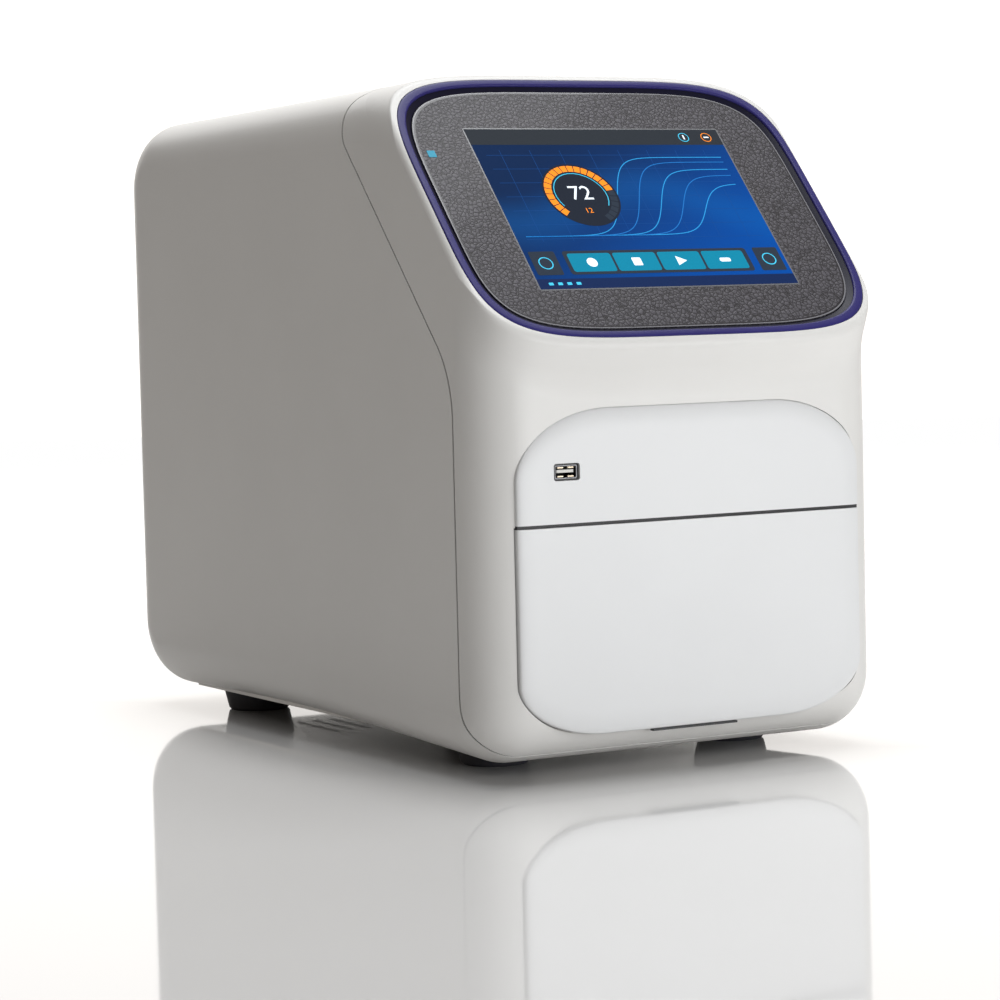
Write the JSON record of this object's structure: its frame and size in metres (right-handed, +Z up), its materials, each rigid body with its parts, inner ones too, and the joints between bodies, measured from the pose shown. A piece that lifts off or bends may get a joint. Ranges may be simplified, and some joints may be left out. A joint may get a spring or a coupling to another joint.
{
  "type": "real-time pcr machine",
  "caption": "Bench thermal cycler with a slanted touch screen, a motor-driven sample drawer, a lifting heated cover and a filter-wheel optical head.",
  "frame": {"origin": "under the centre of the closed instrument, on the surface that its feet stand on", "axes": "+X to the right as seen from the front, +Y to the rear, +Z up; the drawer opens towards -Y"},
  "size_m": [0.27, 0.5006, 0.3992],
  "materials": {
    "cover_white": "fine satin moulded plastic",
    "panel_white": "smooth semi-gloss white plastic",
    "trim_blue": "deep blue-violet gloss lacquer",
    "touch_glass": "textured grey behind clear glass",
    "display": "lit display module",
    "light_cyan": "lit status light pipe",
    "black_plastic": "fine matt black plastic",
    "dark_plastic": "dark grey moulded plastic",
    "foot_rubber": "near-black rubber",
    "sheet_steel": "zinc plated steel sheet",
    "painted_sheet": "light grey powder coat",
    "bare_aluminium": "machined or extruded aluminium",
    "block_silver": "plated sample block",
    "motor_steel": "laminated motor steel",
    "screw_steel": "steel",
    "board_green": "circuit board",
    "ceramic_white": "alumina ceramic plates",
    "gear_natural": "natural acetal",
    "clear_optic": "coated optical glass",
    "mirror": "first-surface mirror",
    "filter_glass": "coloured interference filters",
    "port_metal": "nickel plated socket shell"
  },
  "bodies": {
    "instrument": {"rear_cover": "cover_white", "front_bezel": "cover_white", "screen_trim_ring": "trim_blue", "touch_panel": "touch_glass", "display_module": "display", "display_bracket": "sheet_steel", "display_board": "board_green", "status_light": "light_cyan", "upper_fascia": "panel_white", "front_usb_port": "black_plastic", "base_chassis": "sheet_steel", "rubber_feet": "foot_rubber", "foot_screws": "screw_steel", "side_frames": "sheet_steel", "optics_deck": "sheet_steel", "rear_panel": "painted_sheet", "power_inlet": "black_plastic", "network_socket": "port_metal", "rear_usb_ports": "port_metal", "exhaust_fan_housings": "dark_plastic", "power_supply": "sheet_steel", "main_board": "board_green", "fixed_rails": "screw_steel", "drawer_motor": "motor_steel", "lift_motors": "motor_steel", "optics_housing": "black_plastic", "field_lens": "clear_optic", "fold_mirror": "mirror", "beam_splitter": "clear_optic", "excitation_bracket": "sheet_steel", "excitation_motor": "motor_steel", "led_module": "bare_aluminium", "emission_bracket": "sheet_steel", "emission_motor": "motor_steel", "camera": "black_plastic"},
    "drawer": {"drawer_front": "panel_white", "drawer_tray": "painted_sheet", "moving_rails": "screw_steel", "drawer_rack": "gear_natural", "block_surround": "dark_plastic", "sample_block": "block_silver", "heat_pump_modules": "ceramic_white", "heat_sink": "bare_aluminium", "block_fan_housing": "dark_plastic"},
    "block_fan": {"block_fan_rotor": "dark_plastic"},
    "pinion": {"drive_pinion": "gear_natural"},
    "heated_cover": {"heated_plate": "bare_aluminium", "cover_carriage": "dark_plastic"},
    "screw_left": {"lift_screw_left": "screw_steel"},
    "screw_right": {"lift_screw_right": "screw_steel"},
    "excitation_turret": {"excitation_wheel": "black_plastic", "excitation_filters": "filter_glass"},
    "emission_turret": {"emission_wheel": "black_plastic", "emission_filters": "filter_glass"},
    "fan_left": {"exhaust_rotor_left": "dark_plastic"},
    "fan_right": {"exhaust_rotor_right": "dark_plastic"},
    "rocker": {"power_rocker": "black_plastic"},
    "fuse_holder": {"fuse_drawer": "black_plastic"}
  },
  "joints": [
    {"name": "drawer_slide", "type": "slide", "parent": "instrument", "child": "drawer", "axis": [0, -1, 0], "range_m": [0, 0.165]},
    {"name": "pinion_spin", "type": "hinge", "parent": "instrument", "child": "pinion", "pos_m": [0.062, -0.1755, 0.032], "axis": [0, 0, 1], "continuous": true},
    {"name": "block_fan_spin", "type": "hinge", "parent": "drawer", "child": "block_fan", "pos_m": [0, -0.0605, 0.073], "axis": [0, 1, 0], "continuous": true},
    {"name": "cover_lift", "type": "slide", "parent": "instrument", "child": "heated_cover", "axis": [0, 0, 1], "range_m": [0, 0.01]},
    {"name": "screw_left_spin", "type": "hinge", "parent": "instrument", "child": "screw_left", "pos_m": [-0.092, -0.13, 0.15], "axis": [0, 0, 1], "continuous": true},
    {"name": "screw_right_spin", "type": "hinge", "parent": "instrument", "child": "screw_right", "pos_m": [0.092, -0.13, 0.15], "axis": [0, 0, 1], "continuous": true},
    {"name": "excitation_turret_spin", "type": "hinge", "parent": "instrument", "child": "excitation_turret", "pos_m": [0.0785, -0.02, 0.2755], "axis": [1, 0, 0], "continuous": true},
    {"name": "emission_turret_spin", "type": "hinge", "parent": "instrument", "child": "emission_turret", "pos_m": [-0.03, -0.0035, 0.2755], "axis": [0, 1, 0], "continuous": true},
    {"name": "fan_left_spin", "type": "hinge", "parent": "instrument", "child": "fan_left", "pos_m": [-0.048, 0.2314, 0.25], "axis": [0, 1, 0], "continuous": true},
    {"name": "fan_right_spin", "type": "hinge", "parent": "instrument", "child": "fan_right", "pos_m": [0.048, 0.2314, 0.25], "axis": [0, 1, 0], "continuous": true},
    {"name": "power_rocker_tilt", "type": "hinge", "parent": "instrument", "child": "rocker", "pos_m": [-0.032, 0.2428, 0.092], "axis": [1, 0, 0], "range_deg": [0, 14]},
    {"name": "fuse_drawer_slide", "type": "slide", "parent": "instrument", "child": "fuse_holder", "axis": [0, 1, 0], "range_m": [0, 0.01]}
  ],
  "couplings": [
    {"joint": "pinion_spin", "follows": "drawer_slide", "rad_per_m": 100},
    {"joint": "screw_left_spin", "follows": "cover_lift", "rad_per_m": 785.4},
    {"joint": "screw_right_spin", "follows": "cover_lift", "rad_per_m": 785.4}
  ]
}
